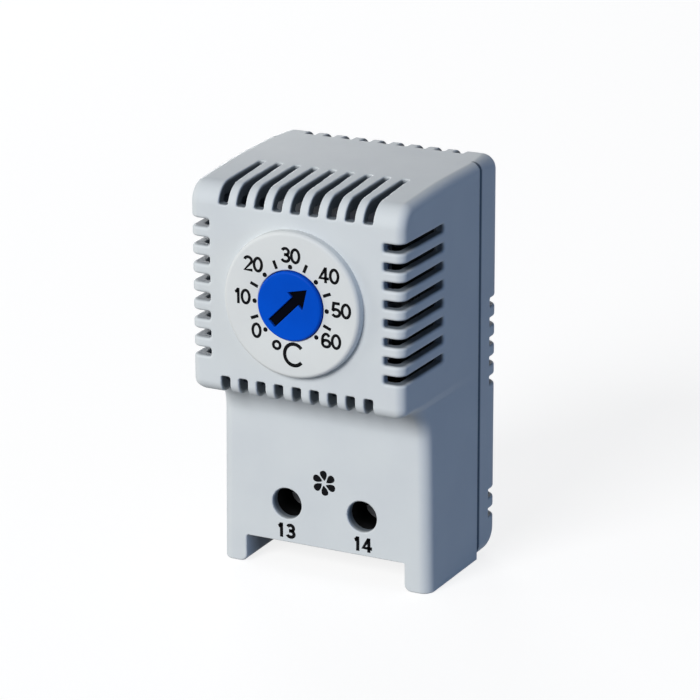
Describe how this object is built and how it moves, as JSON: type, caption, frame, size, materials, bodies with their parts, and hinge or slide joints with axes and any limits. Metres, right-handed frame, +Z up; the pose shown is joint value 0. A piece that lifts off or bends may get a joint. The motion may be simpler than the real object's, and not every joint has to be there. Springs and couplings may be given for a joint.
{
  "type": "DIN rail thermostat",
  "caption": "Small bimetal thermostat for a top-hat rail: slotted housing, turning temperature knob on a printed scale, screw clamp terminals and a sprung rail latch.",
  "frame": {"origin": "centre of the bounding box's base, on the plane the housing's feet stand on", "axes": "+Z up, front (the dial) looks to -Y, +X to the right seen from the front"},
  "size_m": [0.0342, 0.041, 0.06],
  "materials": {
    "front_cover": "fine matt moulded, light grey",
    "rear_base": "fine matt moulded, light grey",
    "scale_disc": "smooth matt, printed scale",
    "adjustment_knob": "satin blue",
    "pointer_inlay": "black",
    "setting_spindle": "turned",
    "spindle_bush": "turned",
    "switch_frame": "zinc plated pressing",
    "frame_screws": "zinc plated",
    "setting_lever": "zinc plated pressing",
    "lever_pin": "bright",
    "lever_spring": "spring wire",
    "bimetal_strip": "rolled bimetal",
    "bimetal_rivets": "bright",
    "push_button": "ivory insulating moulding",
    "contact_blade": "rolled bronze spring strip",
    "blade_rivets": "bright",
    "moving_contact": "silver alloy",
    "fixed_contact": "silver alloy",
    "snap_magnet": "sintered ferrite",
    "conductor_bar_13": "rolled strip",
    "conductor_bar_14": "rolled strip",
    "terminal_carrier": "black moulding",
    "terminal_cage_13": "zinc plated",
    "terminal_cage_14": "zinc plated",
    "terminal_screw_13": "zinc plated",
    "terminal_screw_14": "zinc plated",
    "rail_foot": "light grey moulding",
    "foot_screws": "zinc plated",
    "rail_latch": "black moulding",
    "latch_spring": "spring wire"
  },
  "bodies": {
    "housing": {"front_cover": "front_cover", "rear_base": "rear_base", "scale_disc": "scale_disc", "spindle_bush": "spindle_bush", "switch_frame": "switch_frame", "frame_screws": "frame_screws", "lever_pin": "lever_pin", "lever_spring": "lever_spring", "fixed_contact": "fixed_contact", "snap_magnet": "snap_magnet", "conductor_bar_13": "conductor_bar_13", "conductor_bar_14": "conductor_bar_14", "terminal_carrier": "terminal_carrier", "rail_foot": "rail_foot", "foot_screws": "foot_screws", "latch_spring": "latch_spring"},
    "knob": {"adjustment_knob": "adjustment_knob", "pointer_inlay": "pointer_inlay", "setting_spindle": "setting_spindle"},
    "lever": {"setting_lever": "setting_lever"},
    "bimetal": {"bimetal_strip": "bimetal_strip", "bimetal_rivets": "bimetal_rivets", "push_button": "push_button"},
    "blade": {"contact_blade": "contact_blade", "blade_rivets": "blade_rivets", "moving_contact": "moving_contact"},
    "clamp_screw_13": {"terminal_screw_13": "terminal_screw_13"},
    "clamp_screw_14": {"terminal_screw_14": "terminal_screw_14"},
    "clamp_cage_13": {"terminal_cage_13": "terminal_cage_13"},
    "clamp_cage_14": {"terminal_cage_14": "terminal_cage_14"},
    "latch": {"rail_latch": "rail_latch"}
  },
  "joints": [
    {"name": "knob_turn", "type": "hinge", "parent": "housing", "child": "knob", "pos_m": [0, -0.01865, 0.0437], "axis": [0, 1, 0], "range_deg": [-180, 90]},
    {"name": "lever_tilt", "type": "hinge", "parent": "housing", "child": "lever", "pos_m": [0, 0.00155, 0.03871], "axis": [-1, 0, 0], "range_deg": [0, 4], "stiffness_Nm_per_rad": 0.01, "springref_deg": -11.46, "deforming": ["lever_spring"]},
    {"name": "bimetal_bend", "type": "hinge", "parent": "lever", "child": "bimetal", "pos_m": [0, -0.00055, 0.052], "axis": [1, 0, 0], "range_deg": [0, 2], "stiffness_Nm_per_rad": 0.02},
    {"name": "blade_close", "type": "hinge", "parent": "housing", "child": "blade", "pos_m": [0, 0.00195, 0.02701], "axis": [-1, 0, 0], "range_deg": [0, 3.1], "stiffness_Nm_per_rad": 0.01},
    {"name": "latch_release", "type": "slide", "parent": "housing", "child": "latch", "axis": [0, 0, -1], "range_m": [0, 0.0025], "stiffness_N_per_m": 400, "springref_m": -0.003, "deforming": ["latch_spring"]},
    {"name": "screw_13_turn", "type": "hinge", "parent": "housing", "child": "clamp_screw_13", "pos_m": [-0.00605, -0.0035, 0.0102], "axis": [0, 1, 0], "range_deg": [0, 1080]},
    {"name": "cage_13_rise", "type": "slide", "parent": "housing", "child": "clamp_cage_13", "axis": [0, -1, 0], "range_m": [0, 0.0015]},
    {"name": "screw_14_turn", "type": "hinge", "parent": "housing", "child": "clamp_screw_14", "pos_m": [0.00605, -0.0035, 0.0102], "axis": [0, 1, 0], "range_deg": [0, 1080]},
    {"name": "cage_14_rise", "type": "slide", "parent": "housing", "child": "clamp_cage_14", "axis": [0, -1, 0], "range_m": [0, 0.0015]}
  ]
}
